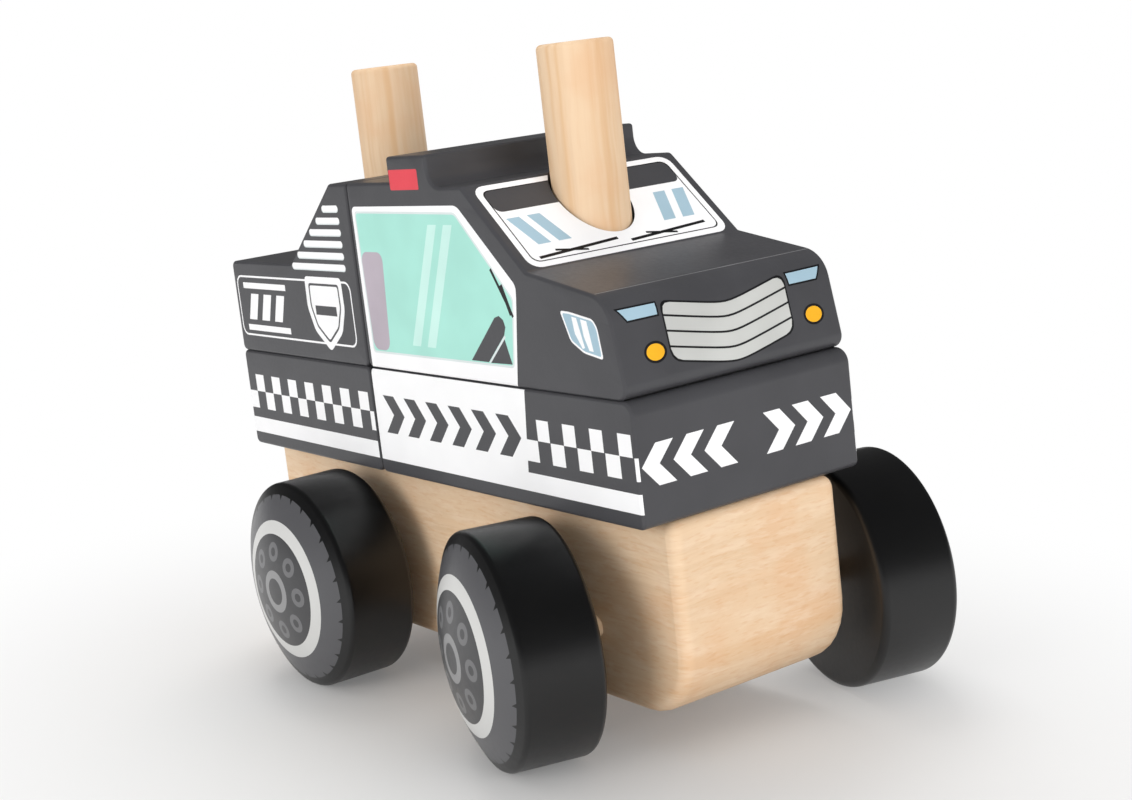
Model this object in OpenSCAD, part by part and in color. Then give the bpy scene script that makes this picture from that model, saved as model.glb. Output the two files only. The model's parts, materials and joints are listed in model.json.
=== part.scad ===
// Wooden stacking police car: four painted blocks drop over two pegs that stand in a base block.
// Two axles turn in bores through the base. The front bore is drilled at an angle, so that the wheels
// on it point to the right. Sizes are millimetres, +X is forward, +Y is left, +Z is up.

/* [Blocks] */
// Width of the four stacking blocks
block_w = 60; // [54:0.5:66]
// Length of the rear blocks, from the seam to the tail
rear_len = 68.5; // [60:0.5:76]
// Length of the lower front block, from the seam to the front
front_len = 102.2; // [99:0.5:112]
// Height of the two lower blocks
lower_h = 26.3; // [20:0.1:32]
// Slit between the front and rear blocks
seam_gap = 0.4; // [0.2:0.1:1]
// Rounding of the lower front block's top front edge
brow_r = 3.2; // [1:0.1:5]
// Rounding of the other block edges that run across the car
edge_r = 1.6; // [0.6:0.1:2.4]
// Easing of the block edges along the sides
ease_r = 0.8; // [0.3:0.1:1.5]

/* [Rear cab] */
// Height of the trunk deck above the lower blocks
deck_h = 24.7; // [18:0.1:30]
// Distance from the seam to the foot of the rear window slope
slope_foot_x = 33.9; // [28:0.5:42]
// Length of roof that the rear block carries
rear_roof_len = 8.8; // [5:0.5:14]

/* [Front cab] */
// Height of the roof above the lower blocks
roof_h = 45; // [36:0.1:52]
// Distance from the seam to the back of the light bar
bar_start_x = 20.1; // [14:0.1:24]
// Length of the light bar along the car
bar_len = 17.1; // [10:0.1:18]
// Height of the light bar above the roof
bar_h = 5.9; // [3:0.1:9]
// Radius of the hollow in front of the light bar
bar_hollow_r = 4.2; // [2:0.1:5]
// How far the roof ahead of the light bar lies below the roof behind it
visor_drop = 1.5; // [0:0.1:2]
// Distance from the seam to the top of the windshield
screen_top_x = 50.2; // [48:0.1:54]
// Distance from the seam to the foot of the windshield
screen_foot_x = 71.1; // [66:0.1:76]
// Height of the hood at the windshield, above the lower blocks
hood_back_h = 25.3; // [22:0.1:30]
// Height of the hood line over the nose, above the lower blocks
hood_front_h = 20.7; // [17:0.1:24]
// Distance from the seam to the hood line's end over the nose
hood_end_x = 97.6; // [92:0.1:100]
// Distance from the seam to the foot of the nose
nose_foot_x = 101.5; // [100:0.1:106]
// Rounding where the hood turns down into the nose
nose_r = 7.5; // [3:0.1:9]
// Rounding at the foot of the nose
nose_foot_r = 2.8; // [1:0.1:4]

/* [Pegs] */
// Diameter of the two pegs
peg_d = 17.2; // [14:0.1:20]
// Height of the pegs above the base
peg_h = 98; // [85:0.1:115]
// Depth of the peg sockets in the base
peg_socket = 12; // [8:0.5:14]
// Distance from the seam forward to the front peg
front_peg_x = 57.1; // [54:0.1:62]
// Distance from the seam back to the rear peg
rear_peg_x = 25; // [22:0.1:32]
// Rounding of the pegs' top edges
peg_round = 1.2; // [0.4:0.1:3]
// Room round a peg in the blocks' holes
peg_room = 0.6; // [0.4:0.1:2]

/* [Base] */
// Width of the base
base_w = 46; // [42:0.5:54]
// Height of the base
base_h = 43.8; // [40:0.1:48]
// Large rounding under the front and the rear of the base
base_nose_r = 16; // [6:0.5:20]
// Softening of the base's other edges
base_ease = 3; // [1:0.1:5]

/* [Wheels] */
// Diameter of the wheels
wheel_d = 52.4; // [48:0.1:56]
// Width of the tread
tread_w = 18; // [12:0.1:22]
// Height of the domed outer face
dome_h = 7; // [4:0.1:11]
// Rounding of the tread's inner edge
tread_round = 1.6; // [1:0.1:4]
// Rounding between the tread and the domed face
shoulder_r = 1.6; // [1:0.1:5]
// Least space between the base and the wheels of the turned front axle
front_wheel_gap = 2; // [0.5:0.1:4]
// Space between the base and the rear wheels
rear_wheel_gap = 7.3; // [3:0.1:12]
// Room between the wheels' tops and the blocks' undersides
wheel_room = 1.2; // [0.4:0.1:3]
// Diameter of the axles
axle_d = 5; // [4:0.1:8]
// Depth of the blind hole for the axle in each wheel
wheel_socket = 12; // [8:0.5:14]
// Distance from the front of the lower blocks back to the front axle
front_overhang = 24.2; // [22:0.1:30]
// Distance from the seam back to the rear axle
rear_axle_x = 17.5; // [14:0.1:26]
// Angle by which the front axle is turned to the right
front_axle_turn = 14.5; // [0:0.5:18]

/* [Hidden] */
$fn = 96;
// Steps in the arc of one rounded corner
corner_steps = 8;
// Overrun of cuts past the faces that they open
over = 1;
// Radial clearance of a shaft that turns
run_clear = 0.08;
// Room past the ends of the axles in the wheels
end_clear = 0.3;

painted = [0.31, 0.31, 0.32];
wood = [0.91, 0.80, 0.66];
tyre_black = [0.11, 0.11, 0.12];

wheel_r = wheel_d / 2;
axle_r = axle_d / 2;
peg_r = peg_d / 2;
hole_r = peg_r + peg_room;
axle_z = wheel_r;
base_top = wheel_d + wheel_room;
base_z = base_top - base_h;
layer_z = base_top + lower_h;
deck_z = layer_z + deck_h;
roof_z = layer_z + roof_h;
visor_z = roof_z - visor_drop;
bar_z = roof_z + bar_h;
bar_end_x = bar_start_x + bar_len;
front_axle_x = front_len - front_overhang;
// The inner faces of the front wheels stand off far enough for their turned edges to clear the base
front_in = (base_w / 2 + front_wheel_gap + tread_round + (wheel_r - tread_round) * sin(front_axle_turn))
    / cos(front_axle_turn) - tread_round;
rear_in = base_w / 2 + rear_wheel_gap;
wheel_w = tread_w + dome_h;
// The domed face is part of a ball, and the shoulder is an arc that touches the ball and the tread
ball_r = (wheel_r * wheel_r + dome_h * dome_h) / (2 * dome_h);
ball_y = wheel_w - ball_r;
shoulder_x = wheel_r - shoulder_r;
shoulder_y = ball_y + sqrt((ball_r - shoulder_r) * (ball_r - shoulder_r) - shoulder_x * shoulder_x);
shoulder_sweep = atan2(shoulder_y - ball_y, shoulder_x);
// The shoulder of the front left wheel reaches furthest forward, past the blocks
wheel_reach = front_axle_x + (front_in + shoulder_y) * sin(front_axle_turn)
    + shoulder_x * cos(front_axle_turn) + shoulder_r;
// Length of the bores for the axles, past both sides of the base
bore_len = (base_w + axle_d) / cos(front_axle_turn) + 2 * over;
// The origin lies on the floor under the middle of the whole length
seam_x = (rear_len - max(front_len, wheel_reach)) / 2;

function unit(v) = v / norm(v);
function flat(p) = [p[0], p[1]];

// Points of an arc, both ends included
function arc(centre, r, start, sweep, steps) =
    [for (i = [0:steps]) centre + r * [cos(start + sweep * i / steps), sin(start + sweep * i / steps)]];

// Points of the arc that rounds one corner [x, y, radius] of an outline
function corner_arc(before, corner, after) =
    let (
        p = flat(corner),
        r = corner[2],
        u = unit(flat(before) - p),
        v = unit(flat(after) - p),
        half = acos(u * v) / 2,
        centre = p + unit(u + v) * r / sin(half),
        from = p + u * r / tan(half) - centre,
        to = p + v * r / tan(half) - centre,
        sweep = atan2(from.x * to.y - from.y * to.x, from * to),
        start = atan2(from.y, from.x)
    )
    r == 0 ? [p] : arc(centre, r, start, sweep, corner_steps);

// Outline with every corner rounded by its own radius
function rounded(corners) =
    let (n = len(corners))
    [for (i = [0:n - 1]) each corner_arc(corners[(i + n - 1) % n], corners[i], corners[(i + 1) % n])];

// Rectangle from low to high with its four corners rounded
function rounded_box(low, high, r) =
    rounded([[low.x, low.y, r], [high.x, low.y, r], [high.x, high.y, r], [low.x, high.y, r]]);

// Solid with a side outline in X and Z, and its long and upright edges eased
module eased_slab(outline, low, high, width, ease) {
    intersection() {
        rotate([90, 0, 0])
            linear_extrude(width, center = true)
                polygon(outline);
        translate([0, 0, low.y - over])
            linear_extrude(high.y - low.y + 2 * over)
                polygon(rounded_box([low.x, -width / 2], [high.x, width / 2], ease));
        translate([low.x - over, 0, 0])
            rotate([90, 0, 90])
                linear_extrude(high.x - low.x + 2 * over)
                    polygon(rounded_box([-width / 2, low.y], [width / 2, high.y], ease));
    }
}

// Stacking block with a hole for its peg
module stacking_block(outline, low, high, peg_x) {
    difference() {
        eased_slab(outline, low, high, block_w, ease_r);
        translate([peg_x, 0, low.y - over])
            cylinder(h = high.y - low.y + 2 * over, r = hole_r);
    }
}

front_x = seam_x + seam_gap / 2;
rear_x = seam_x - seam_gap / 2;
tail_x = seam_x - rear_len;
nose_x = seam_x + front_len;
front_peg_at = seam_x + front_peg_x;
rear_peg_at = seam_x - rear_peg_x;
front_axle_at = seam_x + front_axle_x;
rear_axle_at = seam_x - rear_axle_x;

module base_block() {
    low = [tail_x, base_z];
    high = [nose_x, base_top];
    outline = rounded([
        [low.x, low.y, base_nose_r],
        [high.x, low.y, base_nose_r],
        [high.x, high.y, base_ease],
        [low.x, high.y, base_ease]
    ]);
    color(wood)
    difference() {
        eased_slab(outline, low, high, base_w, base_ease);
        for (x = [front_peg_at, rear_peg_at])
            translate([x, 0, base_top - peg_socket])
                cylinder(h = peg_socket + over, r = peg_r);
        at_front_axle()
            axle_bore();
        at_rear_axle()
            axle_bore();
    }
}

// Bore in which an axle turns
module axle_bore() {
    rotate([90, 0, 0])
        cylinder(h = bore_len, r = axle_r + run_clear, center = true);
}

// Peg with a rounded top, glued into its socket
module peg(x) {
    bottom = base_top - peg_socket;
    top = base_top + peg_h;
    color(wood)
    translate([x, 0, 0])
        rotate_extrude()
            polygon(concat([[0, bottom], [peg_r, bottom]],
                corner_arc([peg_r, bottom], [peg_r, top, peg_round], [0, top]), [[0, top]]));
}

module front_peg() {
    peg(front_peg_at);
}

module rear_peg() {
    peg(rear_peg_at);
}

// Axle along Y between wheels whose inner faces are that far from the middle
module axle(inner) {
    color(wood)
    rotate([90, 0, 0])
        cylinder(h = 2 * (inner + wheel_socket - end_clear), r = axle_r, center = true);
}

// Left wheel on an axle along Y, with a rounded tread, a domed face and a blind hole
module left_wheel(inner) {
    color(tyre_black)
    translate([0, inner, 0])
        rotate([-90, 0, 0])
            difference() {
                rotate_extrude()
                    intersection() {
                        polygon(concat([[0, 0]],
                            corner_arc([0, 0], [wheel_r, 0, tread_round], [wheel_r, wheel_w]),
                            arc([shoulder_x, shoulder_y], shoulder_r, 0, shoulder_sweep, corner_steps),
                            [[shoulder_x, wheel_w], [0, wheel_w]]));
                        translate([0, ball_y])
                            circle(r = ball_r, $fn = 2 * $fn);
                    }
                translate([0, 0, -over])
                    cylinder(h = wheel_socket + over, r = axle_r);
            }
}

module right_wheel(inner) {
    mirror([0, 1, 0])
        left_wheel(inner);
}

// Places what turns with the front axle
module at_front_axle() {
    translate([front_axle_at, 0, axle_z])
        rotate([0, 0, -front_axle_turn])
            children();
}

// Places what turns with the rear axle
module at_rear_axle() {
    translate([rear_axle_at, 0, axle_z])
        children();
}

module lower_front_block() {
    low = [front_x, base_top];
    high = [nose_x, layer_z];
    color(painted)
        stacking_block(rounded([
            [low.x, low.y, edge_r],
            [high.x, low.y, edge_r],
            [high.x, high.y, brow_r],
            [low.x, high.y, edge_r]
        ]), low, high, front_peg_at);
}

module lower_rear_block() {
    low = [tail_x, base_top];
    high = [rear_x, layer_z];
    color(painted)
        stacking_block(rounded_box(low, high, edge_r), low, high, rear_peg_at);
}

// Cab with the light bar, windshield, hood and nose
module upper_front_block() {
    low = [front_x, layer_z];
    high = [seam_x + nose_foot_x, bar_z];
    color(painted)
        stacking_block(rounded([
            [low.x, low.y, edge_r],
            [high.x, low.y, nose_foot_r],
            [seam_x + hood_end_x, layer_z + hood_front_h, nose_r],
            [seam_x + screen_foot_x, layer_z + hood_back_h, edge_r],
            [seam_x + screen_top_x, visor_z, edge_r],
            [seam_x + bar_end_x, visor_z, bar_hollow_r],
            [seam_x + bar_end_x, bar_z, ease_r],
            [seam_x + bar_start_x, bar_z, ease_r],
            [seam_x + bar_start_x, roof_z, 0],
            [low.x, roof_z, ease_r]
        ]), low, high, front_peg_at);
}

// Tail with the trunk deck, the rear window slope and the end of the roof
module upper_rear_block() {
    low = [tail_x, layer_z];
    high = [rear_x, roof_z];
    color(painted)
        stacking_block(rounded([
            [low.x, low.y, edge_r],
            [high.x, low.y, edge_r],
            [high.x, high.y, ease_r],
            [seam_x - rear_roof_len, roof_z, edge_r],
            [seam_x - slope_foot_x, deck_z, edge_r],
            [low.x, deck_z, edge_r]
        ]), low, high, rear_peg_at);
}

base_block();
front_peg();
rear_peg();
at_front_axle() axle(front_in);  // front_axle
at_front_axle() left_wheel(front_in);  // front_left_wheel
at_front_axle() right_wheel(front_in);  // front_right_wheel
at_rear_axle() axle(rear_in);  // rear_axle
at_rear_axle() left_wheel(rear_in);  // rear_left_wheel
at_rear_axle() right_wheel(rear_in);  // rear_right_wheel
lower_front_block();
lower_rear_block();
upper_front_block();
upper_rear_block();
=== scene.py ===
# %% [markdown]
# # A wooden stacking police car
# The car is a pine base on four turned wheels. Two pegs stand in the base, and four painted blocks
# drop over them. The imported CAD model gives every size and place, so it is loaded first and stays
# as the fixed frame. Everything below dresses that frame.

# %% Load the frame
import json
import math

import bmesh
import bpy
from mathutils import Matrix, Vector


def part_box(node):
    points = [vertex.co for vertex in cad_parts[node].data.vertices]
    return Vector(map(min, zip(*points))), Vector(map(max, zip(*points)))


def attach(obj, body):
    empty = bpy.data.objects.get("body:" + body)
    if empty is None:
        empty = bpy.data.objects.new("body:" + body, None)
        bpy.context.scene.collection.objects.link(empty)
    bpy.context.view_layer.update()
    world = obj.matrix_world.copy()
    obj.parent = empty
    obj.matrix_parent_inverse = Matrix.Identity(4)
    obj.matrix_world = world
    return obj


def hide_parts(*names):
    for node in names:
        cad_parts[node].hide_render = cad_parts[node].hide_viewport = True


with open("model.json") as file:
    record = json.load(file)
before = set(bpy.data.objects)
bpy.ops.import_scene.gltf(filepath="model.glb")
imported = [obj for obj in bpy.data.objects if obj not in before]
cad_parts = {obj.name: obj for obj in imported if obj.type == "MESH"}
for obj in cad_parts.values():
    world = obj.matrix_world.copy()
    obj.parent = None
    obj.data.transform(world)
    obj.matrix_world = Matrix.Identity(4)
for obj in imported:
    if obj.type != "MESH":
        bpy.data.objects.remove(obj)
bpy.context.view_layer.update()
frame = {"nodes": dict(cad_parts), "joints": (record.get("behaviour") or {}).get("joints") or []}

print("nodes:", sorted(frame["nodes"]))

# %% [markdown]
# ## Where things are
# Prints are easiest to place as a toy maker draws them: in millimetres, forward from the seam between
# the front and rear blocks and up from the underside of the lower blocks. These few lines turn such
# a pair into a point of the frame.

# %% Millimetres from the seam
MM = 0.001
MERGE = 1e-6
front_low, front_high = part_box("lower_front_block")
rear_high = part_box("lower_rear_block")[1]
seam_x = (front_low.x + rear_high.x) / 2
blocks_z = front_low.z
half_width = front_high.y


def spot(x, y, z):
    """A point given in millimetres from the seam, the car's middle and the blocks' underside."""
    return Vector((seam_x + x * MM, y * MM, blocks_z + z * MM))


print(f"seam at {seam_x / MM:.1f} mm, blocks from {blocks_z / MM:.1f} mm up")
print(f"half width {half_width / MM:.1f} mm")

# %% [markdown]
# ## Shader maths
# A finish is a small network of nodes. Written out link by link it is hard to read, so one class
# wraps a socket: plain operators add Math nodes, and `node` adds any other kind.


# %% A socket that takes part in expressions
class Wire:
    """A shader socket that can be used in Python expressions."""

    def __init__(self, tree, socket=None):
        self.tree, self.socket = tree, socket

    def node(self, kind, settings=None, sockets=None, out=0):
        """Adds a node: its settings first, then the values or links of its sockets."""
        node = self.tree.nodes.new("ShaderNode" + kind)
        for name, value in (settings or {}).items():
            setattr(node, name, value)
        for name, value in (sockets or {}).items():
            if isinstance(value, Wire):
                self.tree.links.new(value.socket, node.inputs[name])
            else:
                node.inputs[name].default_value = value
        return Wire(self.tree, node.outputs[out])

    def other(self, out):
        """Another output of the node that this wire comes from."""
        return Wire(self.tree, self.socket.node.outputs[out])

    def noise(self, place, scale, detail, roughness=0.5, out=0):
        """Noise at a place, with its scale and how much finer grain is added."""
        return self.node("TexNoise", None, {"Vector": place, "Scale": scale, "Detail": detail,
                                            "Roughness": roughness}, out)

    def math(self, operation, *values):
        return self.node("Math", {"operation": operation}, dict(enumerate(values)))

    def mix(self, first, second):
        """Blends two colours, with this value as the share of the second."""
        return self.node("Mix", {"data_type": "RGBA"}, {0: self, 6: first, 7: second}, out=2)

    def step(self, low, high):
        """Rises smoothly from 0 to 1 between two values."""
        return self.node("MapRange", {"interpolation_type": "SMOOTHSTEP"}, {0: self, 1: low, 2: high})

    def __add__(self, other):
        return self.math("ADD", self, other)

    def __radd__(self, other):
        return self.math("ADD", other, self)

    def __sub__(self, other):
        return self.math("SUBTRACT", self, other)

    def __rsub__(self, other):
        return self.math("SUBTRACT", other, self)

    def __mul__(self, other):
        return self.math("MULTIPLY", self, other)

    def __rmul__(self, other):
        return self.math("MULTIPLY", other, self)

    def __truediv__(self, other):
        return self.math("DIVIDE", self, other)

    def __lt__(self, other):
        return self.math("LESS_THAN", self, other)

    def __gt__(self, other):
        return self.math("GREATER_THAN", self, other)


def shade(red, green, blue):
    """A colour written as on screen, from 0 to 255, as the linear values that a shader takes."""
    steps = [c / 255 for c in (red, green, blue)]
    return (*[c / 12.92 if c <= 0.04045 else ((c + 0.055) / 1.055) ** 2.4 for c in steps], 1.0)


def new_finish(name, gloss):
    """A material with some gloss, its shader node and a wire to start expressions from."""
    material = bpy.data.materials.new(name)
    material.use_nodes = True
    shader = material.node_tree.nodes["Principled BSDF"]
    shader.inputs["Specular IOR Level"].default_value = gloss
    return material, shader, Wire(material.node_tree)


def layered(colour, layers):
    """Lays colours over a first one, each with its own share."""
    for share, tone in layers:
        colour = share.mix(colour, tone)
    return colour


def feed(shader, **wires):
    """Links wires to the shader's sockets: base_color feeds Base Color."""
    for name, wire in wires.items():
        wire.tree.links.new(wire.socket, shader.inputs[name.replace("_", " ").title()])


print("a mid grey of 128 is", round(shade(128, 128, 128)[0], 3), "in linear light")

# %% [markdown]
# ## Natural wood
# The base and the pegs are clear-coated pine. Its grain is fine streaks that come and go, broad warm
# bands, short flecks and a few pin knots. A wood texture node gives even rings, which look drawn, so
# stretched noise is used: the stretch follows the grain, which lies flat in the base and upright in
# the pegs.


# %% Wood with a grain direction
PALE, STREAK, WARM = shade(228, 199, 166), shade(207, 171, 133), shade(214, 168, 118)
BLUSH, LIGHT = shade(222, 178, 138), shade(236, 213, 187)
FLECK, KNOT = shade(206, 146, 92), shade(138, 92, 56)
SWAY = 3 * MM
KNOTS_A_METRE = 105.0


def natural_wood(name, stretch, band, short, flecked):
    """Pale pine.

    stretch and short are how many streaks and flecks lie in a metre each way, band is how many
    streaks wide the warm bands are, and flecked is the strength of the flecks.
    """
    material, shader, start = new_finish(name, 0.2)
    place = start.node("TexCoord", out="Object")
    sway = start.noise(place, 26.0, 2.0, out="Color")
    bent = start.node("VectorMath", {"operation": "MULTIPLY_ADD"}, {0: sway, 1: (SWAY, SWAY, SWAY), 2: place})
    along = start.node("Mapping", sockets={"Vector": bent, "Scale": stretch})
    broken = start.node("Mapping", sockets={"Vector": bent, "Scale": short})
    streaks = start.noise(along, 1.0, 3.0, 0.6)
    bands = start.noise(along, 1.0 / band, 2.0)
    figured = start.noise(along, 0.4 / band, 0.0).step(0.42, 0.56)
    blush = start.noise(place, 60.0, 3.0)
    mottle = start.noise(broken, 0.3, 3.0, 0.7)
    flecks = start.noise(broken, 1.0, 2.0)
    knots = start.node("TexVoronoi", sockets={"Vector": place, "Scale": KNOTS_A_METRE}, out="Distance")
    chosen = start.node("SeparateColor", sockets={0: knots.other("Color")})
    colour = layered(PALE, (
        (streaks.step(0.35, 0.7) * (0.1 + 0.28 * figured), STREAK),
        (bands.step(0.5, 0.72) * 0.65, WARM),
        (blush.step(0.45, 0.75) * 0.55, BLUSH),
        (mottle.step(0.46, 0.66) * (0.4 * flecked), LIGHT),
        (flecks.step(0.5, 0.72) * (0.22 * flecked), FLECK),
        ((knots < 0.03) * (chosen > 0.75) * 0.75, KNOT),
    ))
    feed(shader, base_color=colour, roughness=0.44 + 0.14 * streaks,
         normal=start.node("Bump", sockets={"Strength": 0.1, "Distance": 0.0002, "Height": streaks}))
    return material


lying_wood = natural_wood("lying_wood", (30.0, 30.0, 950.0), 7.0, (300.0, 300.0, 1600.0), 1.0)
upright_wood = natural_wood("upright_wood", (700.0, 700.0, 9.0), 2.6, (1500.0, 1500.0, 90.0), 0.3)
cross_wood = natural_wood("cross_wood", (500.0, 12.0, 500.0), 2.0, (1500.0, 90.0, 1500.0), 0.3)
print("woods:", lying_wood.name, upright_wood.name, cross_wood.name)

# %% [markdown]
# ## Paint and printing inks
# The blocks have a satin dark grey paint. The prints on them are flat inks under the same lacquer.
# Paint on wood is never quite even: it has a faint cloudiness, and the pores show as a fine texture.
# One function makes the paint and every ink, so that they share that surface. One lighter grey among
# them is no ink but a painted highlight: a thin line of light on the crease where the hood meets the nose.


# %% Satin paint
def satin_paint(name, colour, roughness, cloud=0.03):
    """A painted or printed surface. cloud is the unevenness of its colour."""
    material, shader, start = new_finish(name, 0.3)
    place = start.node("TexCoord", out="Object")
    fibres = start.node("Mapping", sockets={"Vector": place, "Scale": (60.0, 500.0, 500.0)})
    clouds = start.noise(place, 70.0, 2.0)
    pores = start.noise(place, 900.0, 2.0, 0.6)
    grain = start.noise(fibres, 1.0, 2.0)
    deep = tuple(c * (1 - 2 * cloud) for c in colour[:3]) + (1.0,)
    light = tuple(min(1.0, c * (1 + 2 * cloud)) for c in colour[:3]) + (1.0,)
    feed(shader, base_color=clouds.step(0.25, 0.75).mix(deep, light),
         roughness=roughness - 0.06 + 0.12 * pores,
         normal=start.node("Bump", sockets={"Strength": 0.35, "Distance": 0.00005, "Height": pores + grain}))
    return material


PAINT, WHITE, MINT, RED, BLUE, YELLOW, SILVER, MAUVE, BLACK, GLARE, SOFT, CREASE_HIGHLIGHT = range(12)
inks = [
    satin_paint("dark_paint", shade(69, 69, 72), 0.36),
    satin_paint("white_ink", shade(243, 243, 244), 0.45, 0.01),
    satin_paint("mint_ink", shade(165, 221, 208), 0.45, 0.02),
    satin_paint("red_ink", shade(219, 68, 80), 0.4, 0.03),
    satin_paint("pale_blue_ink", shade(160, 188, 203), 0.4, 0.02),
    satin_paint("yellow_ink", shade(238, 174, 30), 0.4, 0.03),
    satin_paint("silver_ink", shade(192, 193, 190), 0.4, 0.03),
    satin_paint("mauve_ink", shade(178, 168, 178), 0.45, 0.03),
    satin_paint("black_ink", shade(22, 22, 24), 0.4, 0.05),
    satin_paint("glare_ink", shade(196, 234, 225), 0.4, 0.02),
    satin_paint("soft_grey_ink", shade(214, 222, 222), 0.45, 0.02),
    # painted highlight: a lighter grey that stands for light caught on the crease between hood and nose
    satin_paint("painted_highlight_paint", shade(126, 126, 128), 0.35, 0.08),
]
print(len(inks), "paints and inks")

# %% [markdown]
# ## Sections
# Each block is a board sawn to a side outline. The CAD solid already has that outline, so a plane
# cuts it out of a copy of the solid instead of repeating its numbers here. The points that only
# mark old triangles on straight stretches are dissolved.


# %% Cut an outline out of a CAD node
STRAIGHT = 0.005
OUT_FROM_MIDDLE = 0.8


def section(node, point, normal):
    """The outline in which a plane cuts a CAD node."""
    bm = bmesh.new()
    bm.from_mesh(frame["nodes"][node].data)
    bmesh.ops.remove_doubles(bm, verts=bm.verts, dist=MERGE)
    bmesh.ops.bisect_plane(bm, geom=bm.verts[:] + bm.edges[:] + bm.faces[:], dist=MERGE,
                           plane_co=point, plane_no=normal, clear_inner=True, clear_outer=True)
    straight = [v for v in bm.verts if len(v.link_edges) == 2 and v.calc_edge_angle(0) < STRAIGHT]
    bmesh.ops.dissolve_verts(bm, verts=straight)
    return bm


def loops(bm):
    """The separate outlines of a section, the longest first."""
    left, found = set(bm.verts), []
    while left:
        ring, queue = set(), [left.pop()]
        while queue:
            vert = queue.pop()
            ring.add(vert)
            near = [e.other_vert(vert) for e in vert.link_edges]
            queue += [v for v in near if v not in ring]
        left -= ring
        found.append(ring)
    return sorted(found, key=lambda ring: min(v.co.x for v in ring) - max(v.co.x for v in ring))


sample = section("upper_front_block", (0, OUT_FROM_MIDDLE * half_width, 0), (0, 1, 0))
print("the cab's outline has", len(sample.verts), "points")
sample.free()

# %% [markdown]
# ## Boards
# A board is the outline filled, extruded over the width and rounded along both rims, as a router
# bit would. A Bevel modifier could do the rims, but the prints are cut into the faces afterwards,
# so the bevel is made in the mesh.


# %% From outline to board
def board(node, rim):
    """A CAD node's side outline as a solid of its width, with rounded rims."""
    low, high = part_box(node)
    cut_y = OUT_FROM_MIDDLE * high.y
    bm = section(node, (0, cut_y, 0), (0, 1, 0))
    for ring in loops(bm)[1:]:
        bmesh.ops.delete(bm, geom=list(ring), context="VERTS")
    face = bmesh.ops.contextual_create(bm, geom=bm.edges[:])["faces"][0]
    bmesh.ops.translate(bm, verts=bm.verts, vec=(0, low.y - cut_y, 0))
    grown = bmesh.ops.extrude_face_region(bm, geom=[face])["geom"]
    moved = [g for g in grown if isinstance(g, bmesh.types.BMVert)]
    bmesh.ops.translate(bm, verts=moved, vec=(0, high.y - low.y, 0))
    bmesh.ops.recalc_face_normals(bm, faces=bm.faces)
    rims = [e for e in bm.edges if abs(e.verts[0].co.y - e.verts[1].co.y) < MERGE]
    bmesh.ops.bevel(bm, geom=rims, offset=rim, offset_type="OFFSET", affect="EDGES",
                    segments=4, profile=0.5, material=-1, clamp_overlap=False)
    return bm


def piece(name, bm, materials):
    """A mesh object at the origin, with its place in its mesh."""
    mesh = bpy.data.meshes.new(name)
    bm.to_mesh(mesh)
    bm.free()
    for material in materials:
        mesh.materials.append(material)
    obj = bpy.data.objects.new(name, mesh)
    bpy.context.scene.collection.objects.link(obj)
    return obj


def rod(point, axis, radius, length):
    """A round bar that serves as a drill."""
    bm = bmesh.new()
    turn = Vector((0, 0, 1)).rotation_difference(Vector(axis)).to_matrix().to_4x4()
    bmesh.ops.create_cone(bm, cap_ends=True, segments=96, radius1=radius, radius2=radius,
                          depth=length, matrix=Matrix.Translation(point) @ turn)
    return piece("drill", bm, [])


def drilled(obj, *drills):
    """Takes the drills' shapes out of a piece for good."""
    for drill in drills:
        cut = obj.modifiers.new("cut", "BOOLEAN")
        cut.operation, cut.solver, cut.object = "DIFFERENCE", "EXACT", drill
    bpy.context.view_layer.update()
    made = obj.evaluated_get(bpy.context.evaluated_depsgraph_get())
    mesh, old = bpy.data.meshes.new_from_object(made), obj.data
    obj.modifiers.clear()
    obj.data = mesh
    bpy.data.meshes.remove(old)
    for drill in drills:
        bpy.data.meshes.remove(drill.data)
    return obj


SHARP_FROM = math.radians(35)


def smooth(obj):
    """Smooth faces, sharp edges past an angle, and flat faces kept flat beside rounded rims."""
    for polygon in obj.data.polygons:
        polygon.use_smooth = True
    obj.data.set_sharp_from_angle(angle=SHARP_FROM)
    level = obj.modifiers.new("level", "WEIGHTED_NORMAL")
    level.keep_sharp = True
    level.mode = "FACE_AREA"
    level.weight = 100


print("boards, drills and smoothing are ready")

# %% [markdown]
# ## Base block
# The base is one thick board with large round noses below and soft edges. Its bores and sockets are
# drilled after the shaping, as on the real one.

# %% Base
BASE_RIM, AXLE_ROOM, BORE_LENGTH = 2.7 * MM, 0.08 * MM, 100 * MM
joints = {j["name"]: j for j in frame["joints"]}
axle_low, axle_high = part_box("rear_axle")
bore_r = (axle_high.z - axle_low.z) / 2 + AXLE_ROOM
base = piece("pine_base", board("base_block", BASE_RIM), [lying_wood])
axle_drills = [rod(Vector(joints[n]["pos_m"]), joints[n]["axis"], bore_r, BORE_LENGTH)
               for n in ("front_axle_spin", "rear_axle_spin")]
peg_drills = []
for node in ("front_peg", "rear_peg"):
    low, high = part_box(node)
    peg_drills.append(rod((low + high) / 2, (0, 0, 1), (high.x - low.x) / 2, high.z - low.z))
drilled(base, *axle_drills, *peg_drills)
smooth(base)
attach(base, "base")
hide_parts("base_block")
print("base:", len(base.data.polygons), "faces")

# %% [markdown]
# ## Turned pieces
# Pegs, axles and wheels come off a lathe. Half of the CAD section is the turning profile, and spinning
# it round the axis gives a much finer round than the CAD facets.


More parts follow.
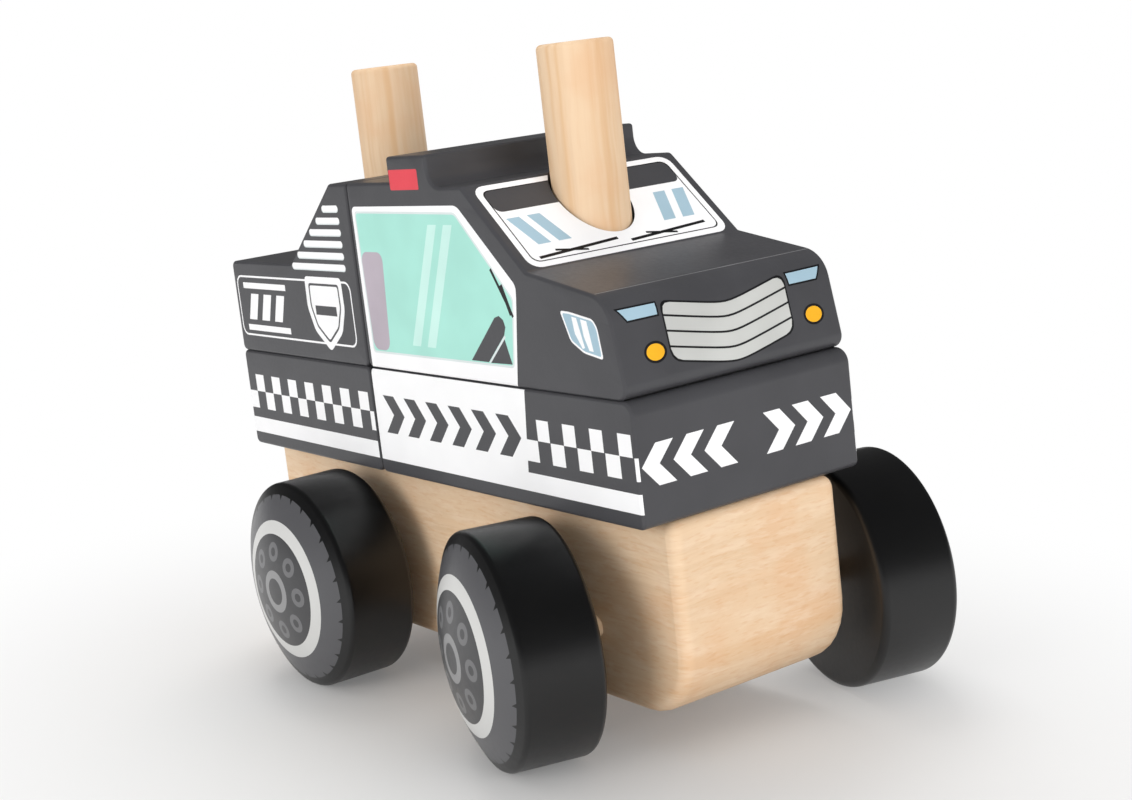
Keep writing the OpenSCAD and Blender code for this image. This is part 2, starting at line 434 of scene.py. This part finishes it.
# %% Spin half a section
def turned(name, node, point, axis, materials, steps=128):
    """A CAD node of revolution, spun again from half of its section."""
    point, axis = Vector(point), Vector(axis).normalized()
    upright = abs(axis.z) > 0.9
    across = (axis.orthogonal() if upright else axis.cross(Vector((0, 0, 1)))).normalized()
    bm = section(node, point, across)
    out = across.cross(axis)
    bmesh.ops.bisect_plane(bm, geom=bm.verts[:] + bm.edges[:], dist=MERGE, plane_co=point,
                           plane_no=out, clear_inner=True)
    on_axis = [e for e in bm.edges if all(abs((v.co - point).dot(out)) < MERGE for v in e.verts)]
    bmesh.ops.delete(bm, geom=on_axis, context="EDGES")
    bmesh.ops.spin(bm, geom=bm.verts[:] + bm.edges[:], cent=point, axis=axis, dvec=(0, 0, 0),
                   angle=2 * math.pi, steps=steps, use_merge=True)
    bmesh.ops.remove_doubles(bm, verts=bm.verts, dist=5 * MERGE)
    bmesh.ops.recalc_face_normals(bm, faces=bm.faces)
    obj = piece(name, bm, materials)
    smooth(obj)
    return obj


for node in ("front_peg", "rear_peg"):
    low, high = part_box(node)
    peg = turned("pine_" + node, node, (low + high) / 2, (0, 0, 1), [upright_wood])
    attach(peg, "base")
    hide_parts(node)
    print(peg.name, len(peg.data.polygons), "faces")

# %% [markdown]
# ## Wheels
# A wheel is painted black, and its dome carries a print: a hub with a centre ring and eight bolts, a
# pale ring, and a grey tyre wall whose outer edge has small nicks. Rings on a dome are natural in
# polar terms, so they are worked out in the shader from the distance and angle round the axle.


# %% Wheel finish
TYRE_R, RING_R, HUB_R = 23.6, 17.6, 14.4
CENTRE_RING, LUG_RING, LUG_PLACE = (3.4, 5.4), (1.1, 2.4), 10.1
LUGS, NICKS, NICK_DEPTH, NICK_SHARE = 8, 28, 1.2, 0.2
DOME_FROM = 42.0


def wheel_paint(name, point, turn):
    """Black paint with the printed hub, for an axle along Y that is turned round Z at a point."""
    material, shader, start = new_finish(name, 0.55)
    place = start.node("TexCoord", out="Object")
    local = start.node("Mapping", {"vector_type": "TEXTURE"},
                       {"Vector": place, "Location": point, "Rotation": (0.0, 0.0, turn)})
    split = start.node("SeparateXYZ", sockets={0: local})
    x, y, z = (split.other(i) / MM for i in range(3))
    r = start.math("SQRT", x * x + z * z)
    angle = start.math("ARCTAN2", z, x) / (2 * math.pi)
    dome = start.math("ABSOLUTE", y) > DOME_FROM

    def ring(distance, limits):
        return (distance > limits[0]) * (distance < limits[1])

    nick = start.math("FRACT", angle * NICKS + NICKS / 2)
    edge = TYRE_R - NICK_DEPTH * start.math("MAXIMUM", 1.0 - nick / NICK_SHARE, 0.0)
    from_lug = (start.math("FRACT", angle * LUGS + (LUGS + 0.5)) - 0.5) * (2 * math.pi / LUGS)
    lug_x = r * start.math("COSINE", from_lug) - LUG_PLACE
    lug_z = r * start.math("SINE", from_lug)
    lug_r = start.math("SQRT", lug_x * lug_x + lug_z * lug_z)
    clouds = start.noise(place, 60.0, 3.0)
    pores = start.noise(place, 700.0, 2.0)
    black = clouds.step(0.2, 0.8).mix(shade(5, 5, 6), shade(10, 10, 11))
    prints = (
        (r < edge, shade(80, 80, 83)),
        (r < RING_R, shade(203, 203, 201)),
        (r < HUB_R, shade(58, 58, 60)),
        (ring(lug_r, LUG_RING), shade(102, 102, 104)),
        (ring(r, CENTRE_RING), shade(136, 136, 137)),
    )
    feed(shader, base_color=layered(black, [(dome * share, tone) for share, tone in prints]),
         roughness=0.3 + 0.1 * pores,
         normal=start.node("Bump", sockets={"Strength": 0.25, "Distance": 0.00005, "Height": pores}))
    return material


for end in ("front", "rear"):
    joint = joints[end + "_axle_spin"]
    point, axis = joint["pos_m"], Vector(joint["axis"])
    turn = math.atan2(-axis.x, axis.y)
    finish = wheel_paint(end + "_wheel_paint", point, turn)
    axle = turned("wood_" + end + "_axle", end + "_axle", point, axis, [cross_wood], 64)
    made = [(axle, end + "_axle")]
    for hand in ("left", "right"):
        node = f"{end}_{hand}_wheel"
        wheel = turned("domed_" + node, node, point, axis, [finish])
        made.append((wheel, node))
    for obj, node in made:
        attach(obj, end + "_wheelset")
        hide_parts(node)
    print(end, "axle turned by", round(math.degrees(turn), 1), "degrees")
    print(len(wheel.data.polygons), "faces a wheel")

# %% [markdown]
# ## Printing
# On the real blocks the prints are flat. A decal that floats over the wood would show a rim, and a
# texture would blur when the part is exported, so every print is cut into the faces: planes along the
# edges of its outline slice what lies under it, and the faces inside get the ink. Outlines are convex,
# and a print that isn't is made of several.


# %% Outlines and the cutting itself
CORNER_STEPS, OVAL_STEPS, END_STEPS = 5, 28, 6
REACH, FACING = 6 * MM, 0.3


def stencil(points, corner=0.0, inset=0.0):
    """The outline of a print in millimetres, drawn in by inset and then rounded at its corners."""
    bm = bmesh.new()
    face = bm.faces.new([bm.verts.new((u, v, 0)) for u, v in points])
    bm.normal_update()
    if inset:
        bmesh.ops.inset_region(bm, faces=[face], thickness=inset, use_even_offset=True, use_boundary=True)
        points = [v.co.xy for v in face.verts]
        bm.clear()
        face = bm.faces.new([bm.verts.new((u, v, 0)) for u, v in points])
    if corner:
        bmesh.ops.bevel(bm, geom=face.verts[:], offset=corner, offset_type="ABSOLUTE", affect="VERTICES",
                        segments=CORNER_STEPS, profile=0.5, material=-1)
        bm.faces.ensure_lookup_table()
        face = bm.faces[0]
    outline = [(v.co.x, v.co.y) for v in face.verts]
    bm.free()
    return outline


def block(u0, v0, u1, v1):
    """Corners of an upright rectangle."""
    return [(u0, v0), (u1, v0), (u1, v1), (u0, v1)]


def stroke(start, end, width):
    """Corners of a straight line of some width."""
    a, b = Vector(start), Vector(end)
    side = (b - a).orthogonal().normalized() * width / 2
    return [tuple(p) for p in (a - side, b - side, b + side, a + side)]


def disc(u, v, ru, rv):
    """An oval."""
    turns = [2 * math.pi * i / OVAL_STEPS for i in range(OVAL_STEPS)]
    return [(u + ru * math.cos(t), v + rv * math.sin(t)) for t in turns]


def pill(u0, v0, u1, v1):
    """A bar with round ends."""
    r, middle = (v1 - v0) / 2, (v0 + v1) / 2
    turns = [math.pi * (i / END_STEPS - 0.5) for i in range(END_STEPS + 1)]
    right = [(u1 - r + r * math.cos(t), middle + r * math.sin(t)) for t in turns]
    left = [(u0 + r - r * math.cos(t), middle - r * math.sin(t)) for t in turns]
    return right + left


def print_on(bm, zone, outline, ink):
    """Cuts an outline into the faces of a zone, and inks what lies inside it."""
    points = [zone(u, v) for u, v in outline]
    centre = sum((p for p, n in points), Vector()) / len(points)
    facing = sum((n for p, n in points), Vector()).normalized()
    planes = []
    for (a, na), (b, nb) in zip(points, points[1:] + points[:1]):
        out = (b - a).cross(na + nb).normalized()
        planes.append((a, -out if out.dot(centre - a) > 0 else out))

    def meets(face):
        return face.is_valid and not any(
            all((v.co - co).dot(no) > -MERGE for v in face.verts) for co, no in planes)

    faces = [f for f in bm.faces if f.normal.dot(facing) > FACING
             and abs((f.calc_center_median() - centre).dot(facing)) < REACH and meets(f)]
    for co, no in planes:
        parts = {v for f in faces for v in f.verts} | {e for f in faces for e in f.edges}
        cut = bmesh.ops.bisect_plane(bm, geom=faces + list(parts), dist=MERGE, plane_co=co, plane_no=no)
        faces = [g for g in cut["geom"] if isinstance(g, bmesh.types.BMFace) and meets(g)]
    for face in faces:
        if all((v.co - co).dot(no) < 2 * MERGE for v in face.verts for co, no in planes):
            face.material_index = ink


def side(hand):
    """The flat side of the blocks: -1 is the right one and 1 the left one."""
    return lambda u, v: (spot(u, hand * half_width / MM, v), Vector((0, hand, 0)))


print("a stroke:", [tuple(round(c, 1) for c in p) for p in stroke((0, 0), (4, 0), 1)])

# %% [markdown]
# ## Blank blocks
# The four blocks are boards with a peg hole. The hole is wider than the peg, so that a child can
# drop the block over it.

# %% Saw and drill the blocks
RIM = 0.75 * MM
PEG_ROOM = 0.6 * MM


def blank(node, peg):
    """A block with its peg hole, ready for printing, as a bmesh."""
    low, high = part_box(node)
    peg_low, peg_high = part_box(peg)
    radius = (peg_high.x - peg_low.x) / 2 + PEG_ROOM
    obj = piece("blank", board(node, RIM), [])
    middle = (peg_low + peg_high) / 2
    drilled(obj, rod((middle.x, 0, (low.z + high.z) / 2), (0, 0, 1), radius, 2 * (high.z - low.z)))
    bm = bmesh.new()
    bm.from_mesh(obj.data)
    bpy.data.meshes.remove(obj.data)
    return bm


def finished(name, bm, node):
    """A printed block that stands for its CAD node."""
    obj = piece(name, bm, inks)
    smooth(obj)
    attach(obj, node.replace("_block", ""))
    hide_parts(node)
    print(name, len(obj.data.polygons), "faces")


lower_front = blank("lower_front_block", "front_peg")
lower_rear = blank("lower_rear_block", "rear_peg")
upper_front = blank("upper_front_block", "front_peg")
upper_rear = blank("upper_rear_block", "rear_peg")
print("blank faces:", [len(b.faces) for b in (lower_front, lower_rear, upper_front, upper_rear)])

# %% [markdown]
# ## Lower blocks
# A white stripe and a row of checks run along both lower blocks. The door panel of the front one is
# white down to the stripe. Dark arrows lie on the door, and white ones on the front face. Prints that
# run off a block are drawn past its end, and the last three bring back its unprinted rims.

# %% Checks, stripe, door panel and arrows
CHECK, STEP = 4.7, 9.4
LOWER_ROW, UPPER_ROW, STRIPE = (10.25, 15.05), (15.05, 19.75), (3.4, 7.6)
TAIL, NOSE, PAST, OVER = -75, 110, 5, 29
REAR_CHECKS, DOOR_FOOT, DOOR_HEAD = -63.6, 63.2, 66.0
SIDE_RIM, TOP_RIM = 0.65, 26.0


def checks(bm, zone, first, count, row, size=CHECK, step=STEP):
    """A row of white checks from a first place forward."""
    for i in range(count):
        u = first + i * step
        print_on(bm, zone, block(u, row[0], u + size, row[1]), WHITE)


def arrow(bm, zone, u, low, high, width, lean, ink):
    """A bent bar that points along u, made of two slanted halves."""
    middle = (low + high) / 2
    for edge in (low, high):
        print_on(bm, zone, [(u, edge), (u + width, edge), (u + width + lean, middle), (u + lean, middle)], ink)


for hand in (-1, 1):
    zone = side(hand)
    for bm, near, far in ((lower_rear, TAIL, PAST), (lower_front, -PAST, NOSE)):
        print_on(bm, zone, block(near, STRIPE[0], far, STRIPE[1]), WHITE)
    checks(lower_rear, zone, REAR_CHECKS, 7, UPPER_ROW)
    print_on(lower_rear, zone, block(TAIL, LOWER_ROW[0], REAR_CHECKS, LOWER_ROW[1]), WHITE)
    checks(lower_rear, zone, REAR_CHECKS + STEP - CHECK, 7, LOWER_ROW)
    door = [(-PAST, STRIPE[0]), (DOOR_FOOT, STRIPE[0]), (DOOR_HEAD, OVER), (-PAST, OVER)]
    print_on(lower_front, zone, door, WHITE)
    checks(lower_front, zone, 68.7, 4, UPPER_ROW, 4.3, 9.3)
    checks(lower_front, zone, 63.8, 5, LOWER_ROW)
    for i in range(6):
        arrow(lower_front, zone, 4.8 + i * 9.7, 10.4, 19.7, 4.9, 4.2, PAINT)
    print_on(lower_front, zone, block(-PAST, TOP_RIM, NOSE, OVER), PAINT)
    print_on(lower_front, zone, block(-PAST, -PAST, SIDE_RIM, OVER), PAINT)
    print_on(lower_rear, zone, block(-SIDE_RIM, -PAST, PAST, OVER), PAINT)


def front(u, v):
    """The flat front of the lower front block."""
    return spot((front_high.x - seam_x) / MM, u, v), Vector((1, 0, 0))


for i in range(3):
    arrow(lower_front, front, 4.0 + i * 8.2, 8.5, 17.3, 4.6, 4.0, WHITE)
    arrow(lower_front, front, -4.0 - i * 8.2, 8.5, 17.3, -4.6, -4.0, WHITE)
finished("printed_lower_front", lower_front, "lower_front_block")
finished("printed_lower_rear", lower_rear, "lower_rear_block")

# %% [markdown]
# ## Upper rear block
# The tail carries a framed panel with a plain shield and slanted stripes, and six white louvres that
# grow longer towards the deck, along the slope.

# %% Panel, shield, stripes and louvres
LOUVRES = [(-13.4, 65.2), (-17.3, 62.2), (-21.4, 59.3), (-25.2, 56.4), (-29.4, 53.45), (-33.0, 50.55)]
SHIELD = [(-27.4, 48.0), (-8.6, 48.0), (-8.4, 40.0), (-11.0, 34.0),
          (-18.0, 29.0), (-25.0, 34.0), (-27.6, 40.0)]
for hand in (-1, 1):
    zone = side(hand)
    panel = block(-66.8, 30.7, -4.2, 47.2)
    print_on(upper_rear, zone, stencil(panel, 2.6), WHITE)
    print_on(upper_rear, zone, stencil(panel, 2.2, 0.5), PAINT)
    for low, high in ((43.7, 45.3), (32.2, 33.8)):
        print_on(upper_rear, zone, block(-63.2, low, -38.8, high), WHITE)
    for i in range(3):
        u = -62.0 + i * 7.4
        print_on(upper_rear, zone, [(u, 35.2), (u + 4.4, 35.2), (u + 7.2, 42.3), (u + 2.8, 42.3)], WHITE)
    print_on(upper_rear, zone, stencil(SHIELD, 1.2), WHITE)
    print_on(upper_rear, zone, stencil(SHIELD, 0.9, 1.7), PAINT)
    print_on(upper_rear, zone, stencil(SHIELD, 0.7, 2.3), WHITE)
    print_on(upper_rear, zone, block(-23.4, 38.2, -12.6, 40.6), PAINT)
    for start, height in LOUVRES:
        print_on(upper_rear, zone, pill(start, height - 0.95, -5.2, height + 0.85), SOFT)
        print_on(upper_rear, zone, pill(start + 0.1, height - 0.65, -5.3, height + 0.85), WHITE)
finished("printed_upper_rear", upper_rear, "upper_rear_block")

# %% [markdown]
# ## Upper front block
# The cab has a side window with a seat, a wheel and a dash, a framed windshield with wipers, and a
# nose with headlights, lamps and a folded grille. The nose is curved, so its prints are laid out along
# its outline, like a label that is rolled on.

# %% Side window, marker lamp and light bar
FRAME = [(1.6, 65.7), (47.7, 65.8), (67.2, 48.5), (66.7, 45.6), (63.9, 20.0), (1.9, 20.0)]
PANE = [(3.2, 64.1), (46.4, 63.8), (65.1, 45.6), (62.7, 31.0), (3.9, 30.7)]
DASH = [(46.6, 31.2), (53.4, 31.2), (60.6, 37.6), (61.4, 39.4), (60.8, 41.0), (59.3, 41.8), (57.6, 41.3)]
LAMP = [(81.9, 44.0), (84.9, 43.9), (92.7, 42.7), (94.0, 41.0), (95.0, 34.5), (88.7, 35.5), (84.6, 37.7)]
for hand in (-1, 1):
    zone = side(hand)
    print_on(upper_front, zone, stencil(block(20.9, 69.45, 33.2, 74.15), 0.4), RED)
    print_on(upper_front, zone, stencil(FRAME, 1.4), WHITE)
    print_on(upper_front, zone, block(-PAST, 15, NOSE, 26.6), PAINT)
    print_on(upper_front, zone, stencil(PANE, 1.0, -0.5), SOFT)
    print_on(upper_front, zone, stencil(PANE, 0.9), MINT)
    for u in (22.0, 28.5):
        print_on(upper_front, zone, [(u, 33.0), (u + 3.6, 33.0), (u + 16.6, 61.5), (u + 13.0, 61.5)], GLARE)
    seat = [(4.0, 31.0), (11.4, 31.0), (13.2, 54.8), (3.3, 54.8)]
    print_on(upper_front, zone, stencil(seat, 2.4), MAUVE)
    print_on(upper_front, zone, [(54.0, 31.1), (62.5, 31.3), (60.4, 37.2)], PAINT)
    print_on(upper_front, zone, DASH, PAINT)
    print_on(upper_front, zone, stroke((53.9, 31.2), (60.9, 37.4), 0.55), SOFT)
    print_on(upper_front, zone, stroke((58.2, 52.0), (64.8, 41.8), 0.8), BLACK)
    print_on(upper_front, zone, stroke((61.4, 48.6), (64.2, 42.2), 1.2), BLACK)
    print_on(upper_front, zone, stencil(LAMP, 0.8), WHITE)
    print_on(upper_front, zone, stencil(LAMP, 0.6, 0.45), BLUE)
    print_on(upper_front, zone, [(85.7, 42.9), (87.3, 42.7), (89.2, 36.6), (88.4, 36.4), (86.3, 39.4)], WHITE)
    print_on(upper_front, zone, [(88.6, 42.5), (90.6, 42.2), (92.0, 36.0), (90.6, 36.1), (89.2, 39.0)], WHITE)
print("cab sides:", len(upper_front.faces), "faces")

# %% Windshield
screen_foot, screen_top = Vector((71.1, 51.6)), Vector((50.2, 69.8))
up_screen = (screen_top - screen_foot).normalized()


def screen(u, v):
    """The windshield: u across the car, v up the slope from its foot."""
    x, z = screen_foot + up_screen * v
    return spot(x, u, z), Vector((up_screen.y, 0, -up_screen.x))


glass = block(-27.65, 0.5, 27.65, 26.9)
print_on(upper_front, screen, stencil(glass, 3.0), WHITE)
print_on(upper_front, screen, stencil(glass, 2.0, 1.55), BLACK)
print_on(upper_front, screen, stencil(glass, 1.9, 1.85), WHITE)
print_on(upper_front, screen, stencil(block(-25.8, 18.2, 25.8, 25.05), 1.8), PAINT)
for hand in (-1, 1):
    for u in (13.0, 18.5):
        lean = [(u, 7.0), (u + 3.4, 7.0), (u + 6.4, 16.0), (u + 3.0, 16.0)]
        print_on(upper_front, screen, [(hand * a, b) for a, b in lean], BLUE)
for u in (-24.0, 1.0):
    print_on(upper_front, screen, stroke((u, 3.2), (u + 22.0, 4.6), 0.8), BLACK)
    print_on(upper_front, screen, stroke((u + 5.0, 4.6), (u + 13.0, 3.0), 0.6), BLACK)
print("windshield:", len(upper_front.faces), "faces")

# %% Nose
NOSE_FROM = 80 * MM
outline = section("upper_front_block", (0, OUT_FROM_MIDDLE * half_width, 0), (0, 1, 0))
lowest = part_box("upper_front_block")[0].z
at = max((v for v in outline.verts if v.co.z < lowest + MERGE), key=lambda v: v.co.x)
path, before = [at.co.xz], None
while at.co.x > seam_x + NOSE_FROM:
    after = [e.other_vert(at) for e in at.link_edges if e.other_vert(at) is not before]
    before, at = at, max(after, key=lambda v: v.co.z)
    path.append(at.co.xz)
outline.free()


def nose(u, v):
    """The rounded nose: u across the car, v along its outline from the foot upwards."""
    left = v * MM
    for a, b in zip(path, path[1:]):
        if left <= (b - a).length:
            break
        left -= (b - a).length
    along = (b - a).normalized()
    x, z = a + along * left
    return Vector((x, u * MM, z)), Vector((along.y, 0, -along.x))


GRILLE_HALF, GRILLE_LOW, GRILLE_TOP, GRILLE_CORNER = 17.0, 4.3, 17.2, 2.2
GRILLE_RIM, GRILLE_BARS, HALF_BAR = 0.42, (13.9, 10.7, 7.45), 0.22
FOLD_SLOPE, FOLD_ROUND = 0.22, 3.0
STRIPS = (0, 1.5, 3, 5, 9, 14.2, 15.4, 16.2, 16.7, GRILLE_HALF)
TURN_LAMPS = {-1: -20.6, 1: 23.0}


def fold(u):
    """How far the grille's lines have risen at a distance from the fold in its middle."""
    return FOLD_SLOPE * (math.hypot(u, FOLD_ROUND) - FOLD_ROUND)


def grille_strip(hand, u0, u1, inset, ink):
    """A slice of the grille, whose outer corners are round."""
    ends = []
    for u in (u0, u1):
        u = min(u, GRILLE_HALF - inset)
        drop = max(0.0, u - (GRILLE_HALF - GRILLE_CORNER) + inset)
        drop = GRILLE_CORNER - math.sqrt(max(0.0, GRILLE_CORNER ** 2 - drop ** 2))
        ends.append((hand * u, GRILLE_TOP + fold(u) - drop - inset, GRILLE_LOW + fold(u) + drop + inset))
    (a, top_a, low_a), (b, top_b, low_b) = ends
    if abs(b - a) > 0.01:
        print_on(upper_front, nose, [(a, low_a), (b, low_b), (b, top_b), (a, top_a)], ink)


for hand in (-1, 1):
    head = [(hand * u, v) for u, v in ((17.5, 20.2), (28.2, 20.3), (26.0, 17.0), (17.7, 17.0))]
    print_on(upper_front, nose, head, BLACK)
    print_on(upper_front, nose, stencil(head, 0.0, 0.4), BLUE)
    print_on(upper_front, nose, disc(TURN_LAMPS[hand], 10.1, 2.9, 2.25), BLACK)
    print_on(upper_front, nose, disc(TURN_LAMPS[hand], 10.1, 2.3, 1.72), YELLOW)
    for u, v in zip(STRIPS, STRIPS[1:]):
        grille_strip(hand, u, v, 0.0, BLACK)
        grille_strip(hand, u, v, GRILLE_RIM, SILVER)
        for height in GRILLE_BARS:
            bar = block(u, height - HALF_BAR, v, height + HALF_BAR)
            print_on(upper_front, nose, [(hand * a, b + fold(a)) for a, b in bar], BLACK)
# painted highlight: a thin lighter line across the nose, at the crease where the hood ends
print_on(upper_front, nose, block(-29.2, 25.5, 29.2, 25.75), CREASE_HIGHLIGHT)
finished("printed_upper_front", upper_front, "upper_front_block")

# %% [markdown]
# ## Stage
# The car stands in a studio on white, with a soft shadow that falls forward. Two low soft boxes
# light the front and the near side, and a high one stands behind on the far side. The floor is a pale
# grey that mixes in plain white for the camera, fully further away, so that it runs into the
# background. Near the car it stays grey: a painted shade, placed and stretched where the shadow falls,
# under the real shadow that the lamps cast. Above the floor the studio is dim, and the boxes are hidden
# from glossy rays, so the lacquer mirrors the white floor below and darkness above.


# %% Floor and background
# painted shade: the floor stays grey round SHADOW_PLACE, stretched by SHADOW_SCALE, and turns white from
# SHADOW_CORE to SHADOW_REACH
SHADOW_PLACE, SHADOW_SCALE = (0.02, -0.03, 0.0), (1.0, 1.5, 1.0)
SHADOW_CORE, SHADOW_REACH, LEAST_WHITE = 0.04, 0.28, 0.13
AMBIENT, CEILING = 0.7, 0.1


def seen_rays(start):
    """Camera rays, and camera, glossy and transmission rays together."""
    direct = start.node("LightPath", out="Is Camera Ray")
    bounced = start.math("MAXIMUM", direct.other("Is Glossy Ray"), direct.other("Is Transmission Ray"))
    return direct, start.math("MAXIMUM", direct, bounced)


bm = bmesh.new()
bmesh.ops.create_grid(bm, x_segments=1, y_segments=1, size=6.0)
white_floor, shader, start = new_finish("white_floor", 0.1)
shader.inputs["Roughness"].default_value = 0.9
place = start.node("TexCoord", out="Object")
place = start.node("VectorMath", {"operation": "SUBTRACT"}, {0: place, 1: SHADOW_PLACE})
place = start.node("VectorMath", {"operation": "MULTIPLY"}, {0: place, 1: SHADOW_SCALE})
spread = start.node("VectorMath", {"operation": "LENGTH"}, {0: place}, out="Value")
tint = start.node("TexNoise", sockets={"Scale": 3.0})
feed(shader, base_color=tint.mix(shade(216, 215, 214), shade(219, 218, 216)))
direct, seen = seen_rays(start)
plain = start.node("Emission", sockets={"Color": (1, 1, 1, 1), "Strength": 1.0})
# the floor's share of camera white is low round the car, which leaves a painted shade there
share = seen * (LEAST_WHITE + (1 - LEAST_WHITE) * spread.step(SHADOW_CORE, SHADOW_REACH))
mixed = start.node("MixShader", sockets={0: share, 1: Wire(start.tree, shader.outputs[0]), 2: plain})
start.tree.links.new(mixed.socket, start.tree.nodes["Material Output"].inputs["Surface"])
floor = piece("floor", bm, [white_floor])

world = bpy.data.worlds.new("studio")
bpy.context.scene.world = world
world.use_nodes = True
background = world.node_tree.nodes["Background"]
background.inputs["Color"].default_value = (1, 1, 1, 1)
start = Wire(world.node_tree)
direct, seen = seen_rays(start)
height = start.node("SeparateXYZ", sockets={0: start.node("TexCoord", out="Generated")}, out=2)
dimmed = 1.0 - (1 - CEILING) * height.step(-0.05, 0.04) * (1.0 - direct)
strength = AMBIENT + (dimmed - AMBIENT) * seen
start.tree.links.new(strength.socket, background.inputs["Strength"])
print("floor and background are white")


# %% Lights
def lamp(name, place, aim, size, power):
    """A square soft box that glossy surfaces don't mirror."""
    data = bpy.data.lights.new(name, "AREA")
    data.size, data.energy = size, power
    obj = bpy.data.objects.new(name, data)
    obj.location = place
    obj.visible_glossy = False
    obj.rotation_euler = (Vector(aim) - Vector(place)).to_track_quat("-Z", "Y").to_euler()
    bpy.context.scene.collection.objects.link(obj)


lamp("key", (1.05, 0.1, 0.26), (0, 0, 0.08), 0.6, 5.0)
lamp("fill", (0.1, -1.1, 0.3), (0, 0, 0.08), 0.7, 5.8)
lamp("top", (-0.45, 0.3, 1.0), (0, 0, 0.05), 0.6, 5.5)
print("three soft boxes")

# %% [markdown]
# ## Camera
# The car was taken from its front right, a little above, and the picture is turned by a few degrees.
# The three axes below are the camera's right, down and forward directions in the frame.

# %% Camera at the photograph's place
EYE = spot(379.95, -243.57, 95.26)
RIGHT = Vector((0.54439, 0.82986, -0.12236))
DOWN = Vector((0.06503, -0.18718, -0.98017))
AHEAD = Vector((-0.83631, 0.52564, -0.15586))
LENS, SENSOR, SHIFT = 57.36, 36.0, (0.09739, -0.03974)
camera = bpy.data.cameras.new("camera")
camera.lens, camera.sensor_width = LENS, SENSOR
camera.shift_x, camera.shift_y = SHIFT
camera.clip_start, camera.clip_end = 0.01, 50.0
eye = bpy.data.objects.new("camera", camera)
eye.matrix_world = Matrix.Translation(EYE) @ Matrix((RIGHT, -DOWN, -AHEAD)).transposed().to_4x4()
bpy.context.scene.collection.objects.link(eye)
bpy.context.scene.camera = eye
bpy.context.scene.view_settings.view_transform = "Standard"
print("camera at", tuple(round(c, 3) for c in EYE))
